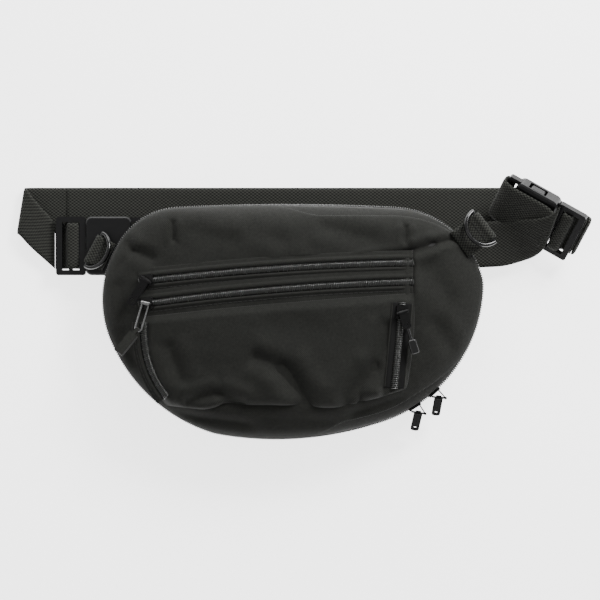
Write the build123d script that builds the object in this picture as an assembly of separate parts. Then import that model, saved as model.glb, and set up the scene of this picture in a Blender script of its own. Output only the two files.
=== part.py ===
from build123d import *

import math
import os

# Waist pack lying on its back on a table, front face up.
# +X runs to the wearer's left-hand end of the belt, +Y to the belt's top edge, +Z out of the front.
# All sizes are in millimetres.

# ---- driving dimensions ----
PACK_LENGTH = 310.0        # pack body, end to end
PACK_HEIGHT = 190.0        # pack body, bottom edge to top edge
RIM_Z = 30.0               # height of the main zip above the table
FRONT_RISE = 30.0          # top of the crowned front above the main zip
CROWN_RADIUS = 710.0       # radius of the front's ball-shaped crown
FRONT_SLOPE = 0.42         # how far the front gusset leans in, per mm of height

FABRIC = 1.4               # double layer of pack cloth
OUTER_SKIN = 1.2           # cloth over the back padding
FOAM = 4.0                 # back padding
LINING = 0.8               # lining cloth
POCKET_DEPTH = 4.2         # pocket panel's outer face above the front panel's
TAPE = 0.8                 # zip tape thickness
TAPE_WIDTH = 13.5          # pocket zip tape, both halves
COIL_WIDTH = 5.0           # pocket zip coil
COIL_HEIGHT = 1.7
MAIN_COIL = 2.1            # one half of the main zip's coil, square
MAIN_TAPE_REACH = 9.0      # main zip tape on the front half, coil to seam
GAP = 0.3                  # room between pieces that move or are sewn face to face

WEBBING_WIDTH = 38.1       # belt webbing
WEBBING = 1.8
TAB_WIDTH = 25.0           # D-ring tab webbing
RING_WIRE = 3.6            # D-ring rod
RING_CLEAR = 1.0           # D-ring inside width beyond the tab, each side

BUCKLE_WIDTH = 48.7
BUCKLE_THICK = 11.6
HOUSING_LENGTH = 38.0      # female half's shell
HOUSING_WALL = 2.0
LADDER_LENGTH = 25.0       # male half's ladder lock
PLUG_REACH = 29.0          # tongue inside the shell
BAR = 3.2                  # bars that the webbing passes over
SLOT = 5.6                 # slots beside those bars

SLIDER_LENGTH = 11.0
SLIDER_WIDTH = 9.2
SLIDER_PLATE = 1.2
PIN_RADIUS = 0.8           # pin that a zip pull swings on
BARREL_RADIUS = 1.7
PULL_WIDTH = 7.0
PULL_THICK = 1.6
MAIN_BARREL = 4.4         # barrel of the main zip's pulls

# ---- where things are ----
U = PACK_LENGTH / 310.0
V = PACK_HEIGHT / 190.0
CROWN_X = -6.0 * U
CROWN_Y = -12.0 * V
CROWN = Vector(CROWN_X, CROWN_Y, RIM_Z + FRONT_RISE - CROWN_RADIUS)
LEFT_END = -160.5 * U
RIGHT_END = 149.7 * U
TOP_EDGE = 82.3 * V
ZIP_ARC_RADIUS = 119.3 * V
ZIP_ARC_CENTRE = Vector(RIGHT_END - ZIP_ARC_RADIUS, 20.1 * V, 0)
ZIP_ARC_SWEEP = 75.0

# Each outline is a chain of arcs: end, middle, end, middle, ... back to the first end.
# The first arc is the round bottom right corner that the main zip's two sliders run on.
RIM = [(149.7, 20.1), (126.9, -50.0), (61.3, -95.1), (-5.0, -107.2), (-70.0, -103.0), (-118.0, -77.0),
       (-151.4, -34.0), (-160.5, 18.0), (-149.5, 49.0), (-131.0, 70.0), (-105.0, 79.6), (-12.0, 82.3),
       (83.0, 79.6), (126.0, 60.5)]
BASE = [(124.0, 8.0), (98.0, -52.0), (30.0, -82.0), (-20.0, -88.0), (-66.0, -84.0), (-104.0, -64.0),
        (-118.0, -30.0), (-108.0, 14.0), (-90.0, 40.0), (-80.0, 50.0), (-62.0, 55.0), (-10.0, 56.5),
        (76.0, 55.0), (112.0, 40.0)]
POCKET = [(94.0, 9.0), (93.0, -30.0), (84.0, -64.0), (-8.0, -75.0), (-100.0, -68.0), (-123.0, -45.0),
          (-132.0, -10.0), (-18.0, 0.0)]

ZIP_A = [(-131.0, 20.6), (-18.0, 31.0), (92.0, 35.8)]
ZIP_B = [(-131.0, 1.8), (-18.0, 14.2), (92.0, 20.2)]
ZIP_C = [(-123.0, -15.0), (-115.5, -40.0), (-98.0, -59.0)]
ZIP_D = [(83.0, 3.0), (80.0, -30.0), (76.5, -60.0)]
SLIDER_A = (-124.5, 21.4)
SLIDER_B = (-124.5, 2.6)
SLIDER_D = (82.5, -4.7)
PULL_A = (-14.0, -22.0)
PULL_B = (-5.3, -24.5)
PULL_D = (10.3, -33.0)
PULL_B_LOOP = 25.0
PULL_D_LENGTH = 14.0
LOOP_WIRE = 1.5
PULL_LIFTS = {"zip_a": 5.0, "zip_b": 16.0, "zip_d": 2.0}
TAB_B = (-14.5, -20.0)

SLIDER_E_ANGLE = -58.0
SLIDER_F_ANGLE = -48.5
MAIN_LOWER_TRAVEL = -13.0  # degrees that each main slider can run, away from the other
MAIN_UPPER_TRAVEL = 45.0
HINGE_X = LEFT_END - 3.0   # the front folds open about a line just outside its left end
MAIN_PULL_DROP = 50.0      # how far below level the main zip's pulls hang, degrees

BACK_RUN_Y = TOP_EDGE - 1.9        # belt along the back, centre line
BACK_RUN_Z = 1.3
LEFT_BUCKLE = Vector(LEFT_END - 17.8, BACK_RUN_Y - 30.0, BUCKLE_THICK / 2 + 3.8)
RIGHT_BUCKLE = Vector(RIGHT_END + 56.6, BACK_RUN_Y - 11.9, 27.4)
RIGHT_BUCKLE_TURN = 150.0
RIGHT_BUCKLE_PITCH = -8.0
RIGHT_BUCKLE_ROLL = -40.0
LEFT_LADDER_END = LEFT_BUCKLE.X - LADDER_LENGTH
BACK_RUN_LEFT = LEFT_LADDER_END + 7.3
BACK_RUN_RIGHT = RIGHT_END + 31.3
RING_TILT = 25.0           # the bow rests on the tab's edges

# Webbing that turns in the air: where the middle of its width is, then half its width as a direction.
# x is from the left ladder lock's end or from the pack's right end, y from the belt's centre line.
LEFT_TURN = [((-1.4, -30.0, 6.0), (0, 19, 0)), ((-8.95, -22.15, 7.0), (1.25, 19, 0)),
             ((-18.95, -12.15, 8.0), (2.25, 19, 0)), ((-27.5, -2.15, 7.6), (3, 19, 0)),
             ((-29.5, -0.7, 4.5), (3, 19, 0)), ((-24.7, 0.0, BACK_RUN_Z + 0.2), (2, 19, 0))]
WING_CURL = [((-12.7, -29.4, 11.5), (0, 19, 0.5)), ((2.3, -28.85, 12.5), (0, 19, 1.5)),
             ((20.3, -28.0, 15.0), (0, 18.6, 4.0)), ((35.05, -25.65, 19.5), (-0.75, 16.75, 9.1)),
             ((46.3, -23.4, 27.0), (1.5, 15.5, 11.0)), ((54.4, -18.9, 35.25), (3.1, 14.5, 11.75)),
             ((57.8, -12.4, 40.75), (4.3, 13.5, 11.75))]
RIGHT_TURN = ((38.3, 2.1, 7.7), (1.0, 18.5, 5.3))

PARTS = {}


# ---- small helpers ----
def scaled(points):
    return [Vector(x * U, y * V, 0) for x, y in points]


def circle_centre(a, b, c):
    d = 2 * (a.X * (b.Y - c.Y) + b.X * (c.Y - a.Y) + c.X * (a.Y - b.Y))
    aa, bb, cc = (p.X ** 2 + p.Y ** 2 for p in (a, b, c))
    x = (aa * (b.Y - c.Y) + bb * (c.Y - a.Y) + cc * (a.Y - b.Y)) / d
    y = (aa * (c.X - b.X) + bb * (a.X - c.X) + cc * (b.X - a.X)) / d
    return Vector(x, y, 0)


def inset_points(points, inset):
    """Moves every point of a chain of arcs inward along its own arc's radius."""
    count = len(points)
    arcs = range(0, count, 2)
    out = {}
    for i in arcs:
        ends = points[i], points[i + 1], points[(i + 2) % count]
        centre = circle_centre(*ends)
        middle = sum(points, Vector()) / count
        for j, point in zip((i, i + 1, (i + 2) % count), ends):
            inward = (centre - point).normalized()
            if inward.dot(middle - point) < 0:
                inward = -inward
            out.setdefault(j, []).append(inward)
    moved = []
    for j, point in enumerate(points):
        inward = sum(out[j], Vector())
        if j in (0, 2) and points is RIM_POINTS:
            inward = ZIP_ARC_CENTRE - point
        moved.append(point + inward.normalized() * inset)
    return moved


def outline(points, inset=0.0, z=0.0):
    moved = [p + Vector(0, 0, z) for p in inset_points(points, inset)]
    count = len(moved)
    return Wire([ThreePointArc(moved[i], moved[i + 1], moved[(i + 2) % count]) for i in range(0, count, 2)])


def prism(points, inset, low, high):
    return Solid.extrude(Face(outline(points, inset, low)), Vector(0, 0, high - low))


def taper(low, high):
    return Solid.make_loft([low, high], True)


def ball(radius):
    return Pos(CROWN) * Rot(0, 90, 0) * Sphere(radius)


def keep(name, *shapes):
    solids = [s for shape in shapes for s in shape.solids()]
    PARTS[name] = solids[0] if len(solids) == 1 else Compound(children=solids)


def on_crown(x, y, lift=0.0):
    radius = CROWN_RADIUS + lift
    dx, dy = x - CROWN.X, y - CROWN.Y
    return Vector(x, y, CROWN.Z + math.sqrt(radius ** 2 - dx ** 2 - dy ** 2))


def strip(points, width, thick):
    """A band of webbing seen from its edge: a mitred line in XZ, as wide as the band along Y."""
    left, right = [], []
    for i, (x, z) in enumerate(points):
        before = points[max(i - 1, 0)]
        after = points[min(i + 1, len(points) - 1)]
        a = Vector(x - before[0], z - before[1]).normalized() if i else None
        b = Vector(after[0] - x, after[1] - z).normalized() if i < len(points) - 1 else None
        a, b = a or b, b or a
        normal = Vector(-(a + b).Y, (a + b).X).normalized()
        reach = thick / 2 / max(normal.dot(Vector(-a.Y, a.X)), 0.4)
        left.append((x + normal.X * reach, z + normal.Y * reach))
        right.append((x - normal.X * reach, z - normal.Y * reach))
    ring = [Vector(x, -width / 2, z) for x, z in left + right[::-1]]
    return Solid.extrude(Face(Wire.make_polygon(ring, close=True)), Vector(0, width, 0))


def ribbon(edges, thick):
    """Webbing through pairs of edge points, (x, y, z) on its upper edge and on its lower edge."""
    pairs = [(Vector(*upper), Vector(*lower)) for upper, lower in edges]
    middles = [(upper + lower) / 2 for upper, lower in pairs]
    rings = []
    for i, (upper, lower) in enumerate(pairs):
        ahead = middles[min(i + 1, len(pairs) - 1)] - middles[max(i - 1, 0)]
        normal = (upper - lower).cross(ahead).normalized() * (thick / 2)
        rings.append([upper + normal, lower + normal, lower - normal, upper - normal])
    faces = [Face(Wire.make_polygon(ring, close=True)) for ring in (rings[0], rings[-1])]
    for near, far in zip(rings, rings[1:]):
        for j in range(4):
            k = (j + 1) % 4
            across_near = Edge.make_line(near[j], near[k])
            across_far = Edge.make_line(far[j], far[k])
            faces.append(Face.make_surface_from_curves(across_near, across_far))
    return Solid(Shell(faces))


# ---- zips on the crowned front ----
class CrownZip:
    """A zip that lies on the crown: its line is where one plane cuts the ball."""

    def __init__(self, points, lift):
        self.lift = lift
        self.start, self.middle, self.end = (on_crown(x * U, y * V, lift) for x, y in points)
        normal = (self.middle - self.start).cross(self.end - self.middle).normalized()
        self.normal = normal if normal.Y > 0 or abs(normal.Y) < abs(normal.X) else -normal
        if abs(self.normal.Y) < abs(self.normal.X) and self.normal.X < 0:
            self.normal = -self.normal
        self.axis_point = CROWN + self.normal * (self.start - CROWN).dot(self.normal)
        self.radius = (self.start - self.axis_point).length

    def plane_at(self, point):
        """Local x across the zip, y out of the surface, normal along the zip."""
        outward = (point - CROWN).normalized()
        across = (self.normal - outward * self.normal.dot(outward)).normalized()
        return Plane(origin=point, x_dir=across, z_dir=across.cross(outward))

    def nearest(self, x, y):
        """The point of the zip's line closest to (x, y) on the crown."""
        toward = on_crown(x * U, y * V, self.lift) - self.axis_point
        toward = (toward - self.normal * toward.dot(self.normal)).normalized()
        return self.axis_point + toward * self.radius

    def angle(self, a, b):
        """Degrees from a to b about the zip's axis, by the right-hand rule."""
        p, q = a - self.axis_point, b - self.axis_point
        return math.degrees(math.atan2(p.cross(q).dot(self.normal), p.dot(q)))

    def band(self, width, low, high, trim=0.0):
        plane = self.plane_at(self.start)
        profile = plane * Pos(0, (low + high) / 2) * Rectangle(width, high - low)
        whole = self.angle(self.start, self.end)
        axis = Axis(self.axis_point, self.normal if whole > 0 else -self.normal)
        ends = math.degrees(trim / self.radius)
        turned = profile.rotate(axis, ends)
        return revolve(turned, axis, abs(whole) - 2 * ends)


def zip_slider(plane):
    """Slider body in a frame with x across, y out of the surface, z along the zip."""
    low = TAPE + GAP + 0.1
    top = TAPE + COIL_HEIGHT + GAP + 0.3
    flange = (SLIDER_WIDTH - COIL_WIDTH) / 2 - GAP - 0.1
    side = Pos(0, (low + top) / 2, 0) * Box(flange, top - low, SLIDER_LENGTH)
    shift = (SLIDER_WIDTH - flange) / 2
    plate = Pos(0, top + SLIDER_PLATE / 2, 0) * Box(SLIDER_WIDTH, SLIDER_PLATE, SLIDER_LENGTH)
    plate = fillet(plate.edges().filter_by(Axis.Y), 2.0)
    body = plate + Pos(shift, 0, 0) * side + Pos(-shift, 0, 0) * side
    pin_y = top + SLIDER_PLATE + BARREL_RADIUS + GAP
    return plane.location * body, pin_y


def pull_frame(plane, pin_y, toward, lift):
    """Frame of a pull: origin on its pin, x along the pull, y along the pin, z off the surface."""
    outward = plane.y_dir
    along = (toward - outward * toward.dot(outward)).normalized()
    raised = along * math.cos(math.radians(lift)) + outward * math.sin(math.radians(lift))
    pin = outward.cross(along)
    return Plane(origin=plane.origin + outward * pin_y, x_dir=raised, z_dir=raised.cross(pin))


def pin_and_ears(frame, floor):
    """Two ears on the slider's top plate, with the pin between them."""
    ear_at = PULL_WIDTH / 2 + GAP + 0.6
    ear = Pos(0, 0, -floor / 2) * Box(2.4, 1.2, floor) + Rot(90, 0, 0) * Cylinder(1.2, 1.2)
    pin = Rot(90, 0, 0) * Cylinder(PIN_RADIUS, 2 * ear_at)
    return frame.location * (Pos(0, ear_at, 0) * ear + Pos(0, -ear_at, 0) * ear + pin)


def barrel(width):
    return Rot(90, 0, 0) * (Cylinder(BARREL_RADIUS, width) - Cylinder(PIN_RADIUS + 0.08, width + 2))


def plate_pull(length, barrel_width=PULL_WIDTH):
    tongue = Pos(BARREL_RADIUS + (length - BARREL_RADIUS) / 2 - 0.4, 0, 0) * Box(
        length - BARREL_RADIUS + 0.8, PULL_WIDTH, PULL_THICK)
    tongue = fillet(tongue.edges().filter_by(Axis.Z).sort_by(Axis.X)[-2:], 2.6)
    hole = Pos(length - 4.0, 0, 0) * Cylinder(1.6, 4)
    return tongue + barrel(barrel_width) - hole - Rot(90, 0, 0) * Cylinder(PIN_RADIUS + 0.08, PULL_WIDTH + 2)


def loop_run(length):
    return length - PULL_WIDTH / 2


def wire_loop_pull(length):
    """A bent wire loop with a sleeve round the pin."""
    wire = LOOP_WIRE
    half = PULL_WIDTH / 2 - wire / 2
    run = loop_run(length)
    leg = Pos(run / 2, 0, 0) * Rot(0, 90, 0) * Cylinder(wire / 2, run)
    bow = Pos(run, 0, 0) * Rot(0, 0, -90) * revolve(
        Plane.XZ * Pos(half, 0) * Circle(wire / 2), Axis.Z, 180)
    loop = Pos(0, half, 0) * leg + Pos(0, -half, 0) * leg + bow
    return loop + barrel(PULL_WIDTH) - Rot(90, 0, 0) * Cylinder(PIN_RADIUS + 0.08, PULL_WIDTH + 2)


def crown_zip(name, points, lift, slider_at=None, pull_to=None):
    """Tape, coil and end stops of one zip; returns the zip and its slider's plane."""
    line = CrownZip(points, lift)
    keep(f"{name}_tape", line.band(TAPE_WIDTH, 0.0, TAPE))
    keep(f"{name}_coil", line.band(COIL_WIDTH, TAPE, TAPE + COIL_HEIGHT, 1.5))
    if slider_at is None:
        return line, None, None
    plane = line.plane_at(line.nearest(*slider_at))
    body, pin_y = zip_slider(plane)
    toward = Vector(pull_to[0], pull_to[1], 0)
    frame = pull_frame(plane, pin_y, toward, PULL_LIFTS[name])
    keep(f"{name}_slider", body + pin_and_ears(frame, BARREL_RADIUS + GAP))
    return line, plane, frame


# ---- pack body ----
RIM_POINTS = scaled(RIM)
RIM_POINTS[0] = ZIP_ARC_CENTRE + Vector(ZIP_ARC_RADIUS, 0, 0)
RIM_POINTS[1] = ZIP_ARC_CENTRE + Vector(ZIP_ARC_RADIUS, 0, 0).rotate(Axis.Z, -ZIP_ARC_SWEEP / 2)
RIM_POINTS[2] = ZIP_ARC_CENTRE + Vector(ZIP_ARC_RADIUS, 0, 0).rotate(Axis.Z, -ZIP_ARC_SWEEP)
BASE_POINTS = scaled(BASE)
POCKET_POINTS = scaled(POCKET)
PANEL_LIFT = 0.15          # sewn pieces lie this far off the ball's surface
POCKET_LIFT = POCKET_DEPTH + PANEL_LIFT
POCKET_ROOM = 2.6          # between the front panel and its pocket lining

BACK_TOP = OUTER_SKIN + FOAM + LINING
TAPE_INSET = 0.7
GUSSET_INSET = TAPE_INSET + TAPE + GAP
REAR_TAPE_LOW = RIM_Z - 8.0


def back():
    keep("back_panel_cloth", prism(BASE_POINTS, 0.0, 0.0, OUTER_SKIN))
    keep("back_padding", prism(BASE_POINTS, FABRIC + GAP, OUTER_SKIN, OUTER_SKIN + FOAM))
    keep("back_lining", prism(BASE_POINTS, FABRIC + GAP, OUTER_SKIN + FOAM, BACK_TOP))


def rear_half():
    top = RIM_Z - GAP / 2
    outer = taper(outline(BASE_POINTS, 0.0, OUTER_SKIN), outline(RIM_POINTS, GUSSET_INSET, top))
    inner = taper(outline(BASE_POINTS, FABRIC, OUTER_SKIN), outline(RIM_POINTS, GUSSET_INSET + FABRIC, top))
    keep("rear_gusset", outer - inner)
    tape = prism(RIM_POINTS, TAPE_INSET, REAR_TAPE_LOW, top) - prism(
        RIM_POINTS, TAPE_INSET + TAPE, REAR_TAPE_LOW - 1, top + 1)
    keep("main_zip_rear_tape", tape)
    low = top - MAIN_COIL
    coil = prism(RIM_POINTS, TAPE_INSET - MAIN_COIL, low, top) - prism(RIM_POINTS, TAPE_INSET, low - 1, top + 1)
    keep("main_zip_rear_coil", coil)


def front_half():
    low = RIM_Z + GAP / 2
    coil = prism(RIM_POINTS, TAPE_INSET - MAIN_COIL, low, low + MAIN_COIL) - prism(
        RIM_POINTS, TAPE_INSET, low - 1, low + MAIN_COIL + 1)
    keep("main_zip_front_coil", coil)
    tape_top = low + MAIN_TAPE_REACH
    tape_outer = taper(outline(RIM_POINTS, TAPE_INSET, low), outline(RIM_POINTS, MAIN_TAPE_REACH, tape_top))
    tape_inner = taper(outline(RIM_POINTS, TAPE_INSET + TAPE * 1.4, low),
                       outline(RIM_POINTS, MAIN_TAPE_REACH + TAPE * 1.4, tape_top))
    keep("main_zip_front_tape", tape_outer - tape_inner)
    foot = tape_top - 2.5
    head = RIM_Z + FRONT_RISE + 2.0
    inset = MAIN_TAPE_REACH + 0.4
    lean = (head - foot) * FRONT_SLOPE
    outer = taper(outline(RIM_POINTS, inset, foot), outline(RIM_POINTS, inset + lean, head))
    inner = taper(outline(RIM_POINTS, inset + FABRIC, foot - 0.01),
                  outline(RIM_POINTS, inset + lean + FABRIC, head))
    under = ball(CROWN_RADIUS - FABRIC - 0.1)
    keep("front_gusset", (outer - inner) & under)
    keep("front_panel", (outer & ball(CROWN_RADIUS)) - ball(CROWN_RADIUS - FABRIC))
    lining_out = prism(RIM_POINTS, inset + lean + FABRIC + 3, foot, head)
    lining_top = CROWN_RADIUS - FABRIC - POCKET_ROOM
    keep("pocket_lining", (lining_out & ball(lining_top)) - ball(lining_top - LINING))


def pocket():
    low, high = RIM_Z + 5, RIM_Z + FRONT_RISE + 12
    block = prism(POCKET_POINTS, 0.0, low, high)
    hollow = prism(POCKET_POINTS, FABRIC, low - 1, high + 1)
    panel_out = CROWN_RADIUS + POCKET_DEPTH
    keep("pocket_panel", (block & ball(panel_out)) - ball(panel_out - FABRIC))
    wall = (block - hollow) & ball(panel_out - FABRIC - 0.05)
    keep("pocket_gusset", wall - ball(CROWN_RADIUS + 0.05))


# ---- main zip sliders ----
def rim_frame(angle):
    """On the main zip: x along the zip, y up, z out of the pack, at the coil's outer face."""
    outward = Vector(1, 0, 0).rotate(Axis.Z, angle)
    place = ZIP_ARC_CENTRE + outward * (ZIP_ARC_RADIUS - TAPE_INSET + MAIN_COIL) + Vector(0, 0, RIM_Z)
    return Plane(origin=place, x_dir=outward.cross(Vector(0, 0, 1)).normalized() * -1, z_dir=outward)


def main_slider(name, angle, turn, length):
    """Outer plate over both coils, a hook behind the rear coil, and the pull on its pin."""
    frame = rim_frame(angle)
    axis = Axis(ZIP_ARC_CENTRE, (0, 0, 1))
    sweep = math.degrees(SLIDER_LENGTH / ZIP_ARC_RADIUS)
    start = rim_frame(angle - sweep / 2).origin
    outward = (start - ZIP_ARC_CENTRE - Vector(0, 0, RIM_Z)).normalized()
    section = Plane(origin=start, x_dir=outward, z_dir=Vector(0, 0, 1).cross(outward) * -1)
    up = 1 if section.y_dir.Z > 0 else -1
    plate_mid = GAP + 0.1 + SLIDER_PLATE / 2
    plate = Pos(plate_mid, 0) * Rectangle(SLIDER_PLATE, SLIDER_WIDTH)
    hook_low = MAIN_COIL + GAP * 1.5 + 0.3
    hook_width = MAIN_COIL + SLIDER_PLATE + 0.1
    hook_mid = plate_mid + SLIDER_PLATE / 2 - hook_width / 2
    hook = Pos(hook_mid, -up * (hook_low + 0.6)) * Rectangle(hook_width, 1.2)
    body = revolve(section * (plate + hook), axis, sweep)
    drop = math.radians(MAIN_PULL_DROP)
    toward = Vector(0, -1, 0).rotate(Axis.Z, turn)
    along = toward * math.cos(drop) - Vector(0, 0, 1) * math.sin(drop)
    pin_at = frame.origin + frame.z_dir * (GAP + SLIDER_PLATE + BARREL_RADIUS + 3.0)
    pin_dir = Vector(0, 0, 1).cross(toward).normalized()
    pull = Plane(origin=pin_at, x_dir=along, z_dir=along.cross(pin_dir))
    reach = PULL_WIDTH / 2 + GAP + 1.9
    pin = pull.location * Rot(90, 0, 0) * Cylinder(PIN_RADIUS, 2 * reach)
    ears = []
    for side in (-1, 1):
        tip = pin_at + pull.y_dir * side * reach
        depth = (tip - frame.origin).dot(frame.z_dir) - GAP - 0.2 - SLIDER_PLATE / 2
        root = tip - frame.z_dir * depth
        ear = Plane(origin=(tip + root) / 2, x_dir=frame.x_dir, z_dir=frame.z_dir)
        ears.append(ear.location * Box(1.0, 2.2, depth))
        ears.append(Pos(tip) * Sphere(1.2))
    shape = body + pin
    for ear in ears:
        shape = shape + ear
    keep(f"{name}_slider", shape)
    keep(f"{name}_pull", pull.location * plate_pull(length, MAIN_BARREL))
    return pull


# ---- D-rings and their tabs ----
def ring_frame(place, heading, climb):
    """Origin on the ring's bar; x away from the tab's root, y along the bar."""
    away = Vector(1, 0, 0).rotate(Axis.Z, heading)
    away = (away + Vector(0, 0, 1) * math.tan(math.radians(climb))).normalized()
    across = Vector(0, 0, 1).cross(away).normalized()
    return Plane(origin=place, x_dir=away, z_dir=away.cross(across))


def d_ring(tilt):
    """Bar along y; the bow lies back over the tab, tilted up from it."""
    half = TAB_WIDTH / 2 + RING_CLEAR + RING_WIRE / 2
    rod = RING_WIRE / 2
    bar = Rot(90, 0, 0) * Cylinder(rod, 2 * half)
    corners = Pos(0, half, 0) * Sphere(rod) + Pos(0, -half, 0) * Sphere(rod)
    bow = Rot(0, 0, 90) * revolve(Plane.XZ * Pos(half, 0) * Circle(rod), Axis.Z, 180)
    return Rot(0, tilt, 0) * (bar + corners + bow)


def ring_tab(frame, length, drop):
    """Folded webbing: a sleeve round the ring's bar and a flat tail to the seam."""
    hole = RING_WIRE / 2 + GAP
    sleeve = Rot(90, 0, 0) * (Cylinder(hole + WEBBING, TAB_WIDTH) - Cylinder(hole, TAB_WIDTH + 2))
    line = [(-hole - WEBBING / 2, 0.0), (-length * 0.45, -drop * 0.3), (-length, -drop)]
    tail = strip(line, TAB_WIDTH, WEBBING)
    bore = Rot(90, 0, 0) * Cylinder(hole, TAB_WIDTH + 2)
    return frame.location * (sleeve + (tail - bore))


# ---- side-release buckle, local x from the ladder lock to the shell ----
def rounded_box(x0, x1, width, thick, radius):
    box = Pos((x0 + x1) / 2, 0, 0) * Box(x1 - x0, width, thick)
    return fillet(box.edges().filter_by(Axis.Z), radius)


BUCKLE_END = HOUSING_LENGTH + SLOT + BAR


def buckle_shell():
    shell = rounded_box(0, HOUSING_LENGTH, BUCKLE_WIDTH, BUCKLE_THICK, 5.0)
    shell = chamfer(shell.edges().group_by(Axis.Z)[-1], 1.2)
    cavity_width = BUCKLE_WIDTH - 4 * HOUSING_WALL
    cavity = Pos(HOUSING_LENGTH / 2 - HOUSING_WALL, 0, 0) * Box(
        HOUSING_LENGTH, cavity_width, BUCKLE_THICK - 2 * HOUSING_WALL)
    window = Pos(HOUSING_LENGTH * 0.55, 0, 0) * Box(
        HOUSING_LENGTH * 0.42, BUCKLE_WIDTH + 4, BUCKLE_THICK - 2 * HOUSING_WALL)
    loop = rounded_box(HOUSING_LENGTH - 4, BUCKLE_END, BUCKLE_WIDTH - 1, 5.0, 2.2)
    slot = Pos(HOUSING_LENGTH + SLOT / 2, 0, 0) * Box(SLOT, WEBBING_WIDTH + 2, 8)
    return (shell + loop) - cavity - window - slot


def buckle_plug():
    ladder = rounded_box(-LADDER_LENGTH, -GAP, BUCKLE_WIDTH, 5.0, 2.2)
    frame_wall = (LADDER_LENGTH - GAP - 2 * SLOT - BAR) / 2
    first = -LADDER_LENGTH + frame_wall + SLOT / 2
    for x in (first, first + SLOT + BAR):
        ladder = ladder - Pos(x, 0, 0) * Box(SLOT, WEBBING_WIDTH + 2, 8)
    tongue = Pos(PLUG_REACH / 2 - 1, 0, 0) * Box(PLUG_REACH + 2, 5.0, 4.0)
    return ladder + tongue


def buckle_prongs():
    """The two sprung arms with the catches that fill the shell's side windows."""
    lane = BUCKLE_WIDTH / 2 - 2 * HOUSING_WALL - 3.4
    reach = HOUSING_LENGTH * 0.55
    arm = Pos(reach / 2 + 0.1, lane, 0) * Box(reach, 3.6, 5.4)
    catch = Pos(HOUSING_LENGTH * 0.55, BUCKLE_WIDTH / 2 - 5.2, 0) * Box(HOUSING_LENGTH * 0.36, 9.4, 5.4)
    catch = fillet(catch.edges().filter_by(Axis.Z), 2.4)
    side = arm + catch
    return side, mirror(side, Plane.XZ)


def ladder_webbing(tail):
    """Webbing that comes in under the ladder lock, goes over its middle bar and back out."""
    frame_wall = (LADDER_LENGTH - GAP - 2 * SLOT - BAR) / 2
    first = -LADDER_LENGTH + frame_wall + SLOT / 2
    second = first + SLOT + BAR
    over = 2.5 + WEBBING / 2 + 0.2
    under = -over
    return strip([(second + 0.6, under - 1.0), (second, 0.0), (second - 0.9, over), (first + 0.9, over),
                  (first, 0.0), (first - 1.6, under), (-LADDER_LENGTH - tail, under)], WEBBING_WIDTH, WEBBING)


def buckle_frame(place, turn, pitch, roll):
    return Location(place) * Rot(0, 0, turn) * Rot(0, -pitch, 0) * Rot(roll, 0, 0)


LEFT_FRAME = buckle_frame(LEFT_BUCKLE, 0, 0, 0)
RIGHT_FRAME = buckle_frame(RIGHT_BUCKLE, RIGHT_BUCKLE_TURN, RIGHT_BUCKLE_PITCH, RIGHT_BUCKLE_ROLL)


def buckles():
    for side, frame in (("left", LEFT_FRAME), ("right", RIGHT_FRAME)):
        keep(f"{side}_buckle_shell", frame * buckle_shell())
        keep(f"{side}_buckle_plug", frame * buckle_plug())
        keep(f"{side}_buckle_prongs", *[frame * prong for prong in buckle_prongs()])
        keep(f"{side}_ladder_webbing", frame * ladder_webbing(1.0))


# ---- belt and wings ----
HALF = WEBBING_WIDTH / 2


def in_frame(frame, x, y, z):
    return tuple((frame * Pos(x, y, z)).position)


def local_pair(frame, x, z):
    return in_frame(frame, x, -HALF, z), in_frame(frame, x, HALF, z)


def pairs(stations, x):
    """Both edges of the webbing at each station, measured from x and the belt's centre line."""
    out = []
    for (dx, dy, z), lean in stations:
        middle = Vector(x + dx, BACK_RUN_Y + dy, z)
        half = Vector(*lean) * (HALF / 19.05)
        out.append((tuple(middle + half), tuple(middle - half)))
    return out


def shell_loop(reach, drop):
    """Webbing sewn through the shell's own slot and round its end bar."""
    slot = HOUSING_LENGTH + SLOT / 2
    over = 2.5 + WEBBING / 2 + 0.2
    return strip([(slot, -2.0), (slot, 0.8), (slot + 1.4, over), (BUCKLE_END + 1.2, over),
                  (BUCKLE_END + 4.6, -2.6), (BUCKLE_END + reach, drop)], WEBBING_WIDTH, WEBBING)


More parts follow.
